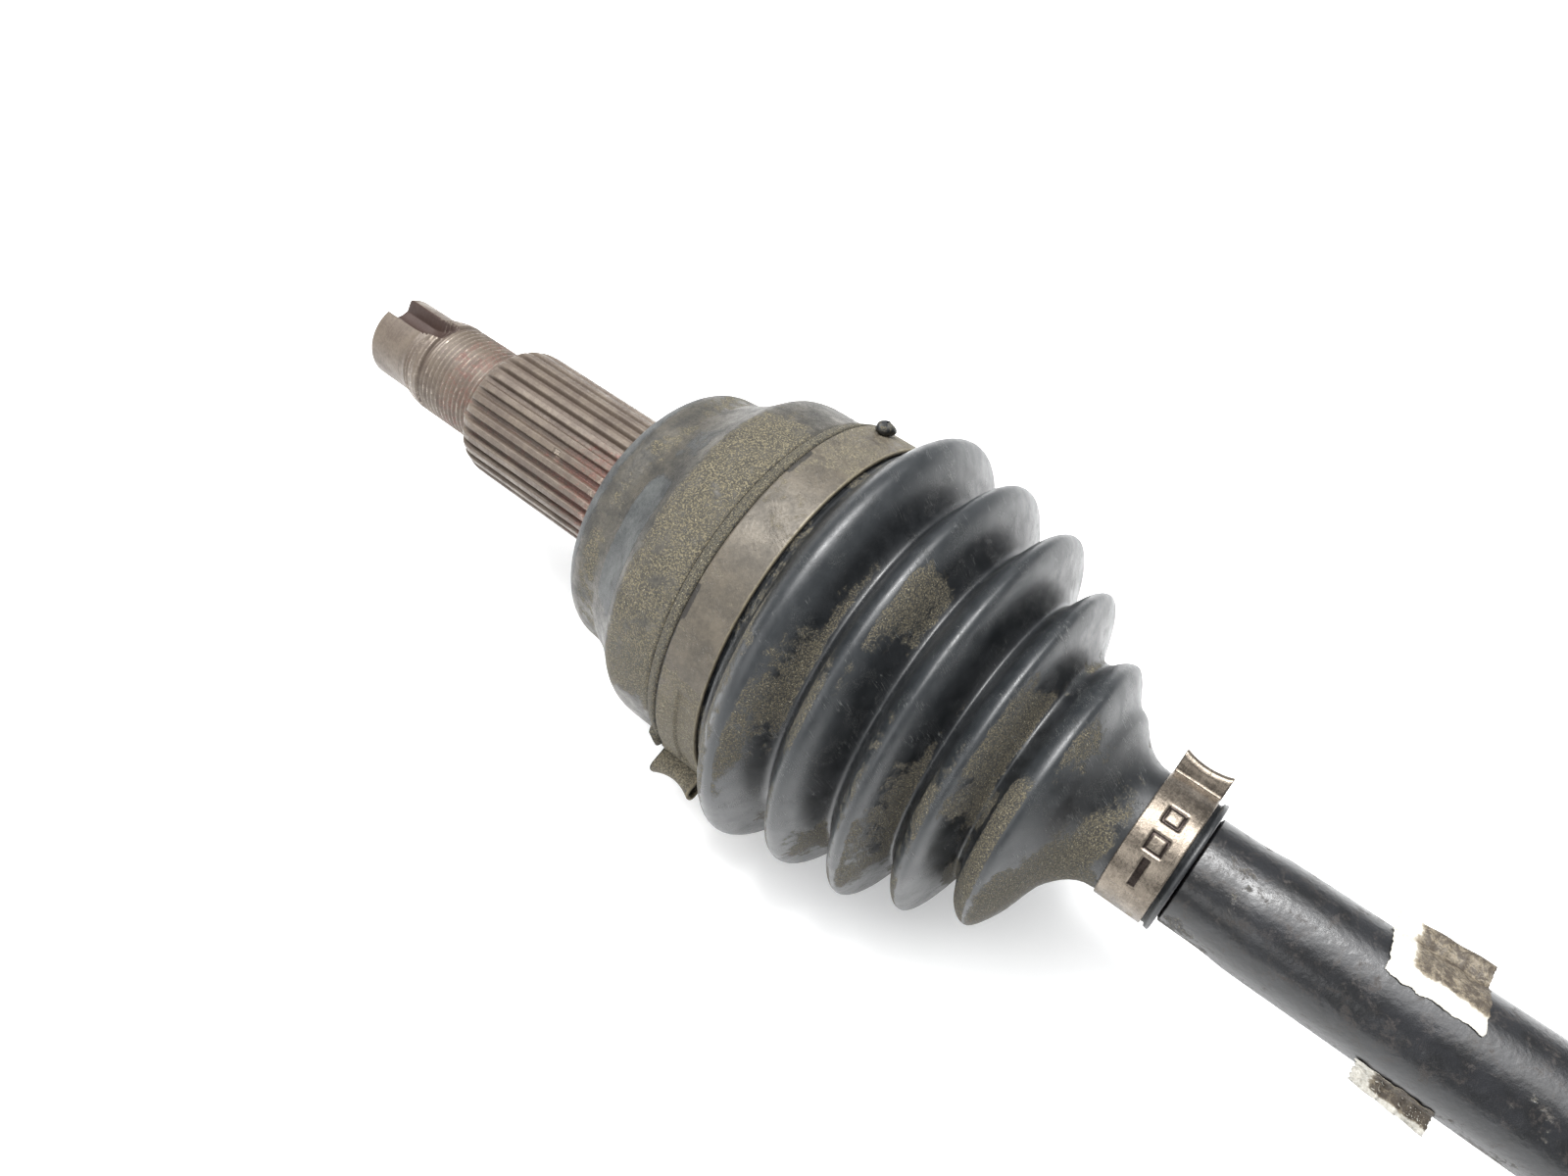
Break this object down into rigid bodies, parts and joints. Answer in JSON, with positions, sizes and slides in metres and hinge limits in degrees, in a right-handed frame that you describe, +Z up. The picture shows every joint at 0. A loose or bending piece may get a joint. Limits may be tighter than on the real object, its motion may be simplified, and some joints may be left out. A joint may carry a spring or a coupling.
{
  "type": "cv axle",
  "caption": "Drive axle: a bar between a fixed ball joint with splined, threaded stub and a plunging tripod joint, each under a clamped rubber boot.",
  "frame": {"origin": "centre of the outer stub's end face", "axes": "+X along the axle towards the inner joint, +Z up"},
  "size_m": [0.61, 0.0956, 0.095],
  "materials": {
    "outer_housing_steel": "forged steel, rusty on the stub and dusty on the bell",
    "inner_housing_steel": "forged steel, machined and lightly rusted",
    "bearing_steel": "ground and greased",
    "phosphated_steel": "dark phosphated steel",
    "boot_rubber": "black moulded elastomer with road dust",
    "clamp_steel": "rolled stainless band, dirty",
    "black_paint": "gloss black paint on steel",
    "label_paper": "torn white paper sticker, dirty"
  },
  "bodies": {
    "shaft": {"axle_shaft": "black_paint", "inner_race": "bearing_steel", "race_snap_ring": "phosphated_steel", "shaft_label": "label_paper", "outer_small_clamp": "clamp_steel", "inner_small_clamp": "clamp_steel", "tripod_spider": "phosphated_steel", "spider_snap_ring": "phosphated_steel", "roller_snap_ring_1": "phosphated_steel", "roller_snap_ring_2": "phosphated_steel", "roller_snap_ring_3": "phosphated_steel"},
    "outer_joint": {"outer_joint_housing": "outer_housing_steel", "outer_boot": "boot_rubber", "outer_large_clamp": "clamp_steel"},
    "cage_and_balls": {"ball_cage": "phosphated_steel", "ball_1": "bearing_steel", "ball_2": "bearing_steel", "ball_3": "bearing_steel", "ball_4": "bearing_steel", "ball_5": "bearing_steel", "ball_6": "bearing_steel"},
    "inner_boot_carrier": {"inner_boot": "boot_rubber"},
    "inner_joint": {"inner_joint_housing": "inner_housing_steel", "inner_large_clamp": "clamp_steel", "stub_snap_ring": "phosphated_steel"},
    "roller_set_1": {"roller_1": "bearing_steel", "needle_set_1": "bearing_steel"},
    "roller_set_2": {"roller_2": "bearing_steel", "needle_set_2": "bearing_steel"},
    "roller_set_3": {"roller_3": "bearing_steel", "needle_set_3": "bearing_steel"}
  },
  "joints": [
    {"name": "outer_bend", "type": "hinge", "parent": "shaft", "child": "outer_joint", "pos_m": [0.122, 0, 0], "axis": [0, 0, 1], "range_deg": [-45, 45], "deforming": ["outer_boot"]},
    {"name": "cage_tilt", "type": "hinge", "parent": "shaft", "child": "cage_and_balls", "pos_m": [0.122, 0, 0], "axis": [0, 0, 1], "range_deg": [-22.5, 22.5]},
    {"name": "inner_bend", "type": "hinge", "parent": "shaft", "child": "inner_boot_carrier", "pos_m": [0.482, 0, 0], "axis": [0, 1, 0], "range_deg": [-18, 18], "deforming": ["inner_boot"]},
    {"name": "inner_plunge", "type": "slide", "parent": "inner_boot_carrier", "child": "inner_joint", "axis": [1, 0, 0], "range_m": [-0.015, 0.015], "deforming": ["inner_boot"]},
    {"name": "roller_spin_1", "type": "hinge", "parent": "shaft", "child": "roller_set_1", "pos_m": [0.482, 0, 0.0215], "axis": [0, 0, 1], "range_deg": [-60, 60]},
    {"name": "roller_spin_2", "type": "hinge", "parent": "shaft", "child": "roller_set_2", "pos_m": [0.482, -0.01862, -0.01075], "axis": [0, -0.866, -0.5], "range_deg": [-60, 60]},
    {"name": "roller_spin_3", "type": "hinge", "parent": "shaft", "child": "roller_set_3", "pos_m": [0.482, 0.01862, -0.01075], "axis": [0, 0.866, -0.5], "range_deg": [-60, 60]}
  ],
  "couplings": [
    {"joint": "cage_tilt", "follows": "outer_bend", "ratio": 0.5},
    {"joint": "roller_spin_1", "follows": "inner_plunge", "rad_per_m": 62.5},
    {"joint": "roller_spin_2", "follows": "inner_plunge", "rad_per_m": 62.5},
    {"joint": "roller_spin_3", "follows": "inner_plunge", "rad_per_m": 62.5}
  ]
}
